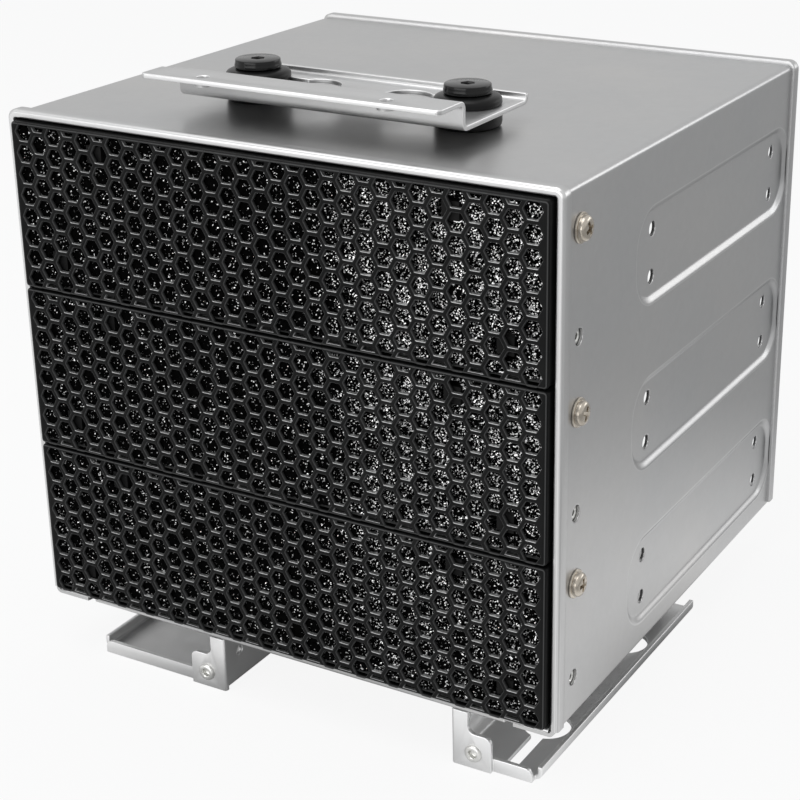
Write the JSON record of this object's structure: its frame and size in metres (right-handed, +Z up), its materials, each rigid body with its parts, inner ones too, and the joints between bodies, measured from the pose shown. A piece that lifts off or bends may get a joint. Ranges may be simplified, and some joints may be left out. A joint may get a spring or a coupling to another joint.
{
  "type": "drive mounting bracket",
  "caption": "Sheet-steel drive cage with pull-off hexagon-mesh bay covers over foam filters, a rubber-mounted top bracket and channel rails with keyholes underneath.",
  "frame": {"origin": "middle of the cage on the plane that the rails stand on, halfway between the covers' faces and the back edge", "axes": "+X to the right seen from the covers, +Y from the covers to the open back, +Z up"},
  "size_m": [0.1546, 0.146, 0.1585],
  "materials": {
    "cage_zinc": "satin zinc-coated steel sheet",
    "rail_zinc": "bright zinc-coated steel sheet",
    "rivet_steel": "bright steel",
    "screw_nickel": "nickel-plated steel",
    "black_oxide": "black oxide on steel",
    "black_rubber": "soft moulded rubber",
    "black_paint": "satin black powder coat",
    "black_plastic": "matte moulded plastic",
    "black_foam": "open-cell filter foam"
  },
  "bodies": {
    "cage": {"cage_shell": "cage_zinc", "bottom_plate": "cage_zinc", "rail_left": "rail_zinc", "rail_right": "rail_zinc", "top_bracket": "rail_zinc", "plate_rivets": "rivet_steel", "rail_rivets": "rivet_steel", "corner_rivets": "rivet_steel", "clinch_nuts": "rivet_steel", "grommet_left": "black_rubber", "grommet_right": "black_rubber", "shoulder_screw_left": "black_oxide", "shoulder_screw_right": "black_oxide", "frame_screws_left": "screw_nickel", "frame_screws_right": "screw_nickel", "filter_frame_bottom": "black_plastic", "filter_frame_middle": "black_plastic", "filter_frame_top": "black_plastic"},
    "cover_bottom": {"mesh_cover_bottom": "black_paint", "foam_filter_bottom": "black_foam"},
    "cover_middle": {"mesh_cover_middle": "black_paint", "foam_filter_middle": "black_foam"},
    "cover_top": {"mesh_cover_top": "black_paint", "foam_filter_top": "black_foam"}
  },
  "joints": [
    {"name": "cover_bottom_slide", "type": "slide", "parent": "cage", "child": "cover_bottom", "axis": [0, -1, 0], "range_m": [0, 0.04]},
    {"name": "cover_middle_slide", "type": "slide", "parent": "cage", "child": "cover_middle", "axis": [0, -1, 0], "range_m": [0, 0.04]},
    {"name": "cover_top_slide", "type": "slide", "parent": "cage", "child": "cover_top", "axis": [0, -1, 0], "range_m": [0, 0.04]}
  ]
}
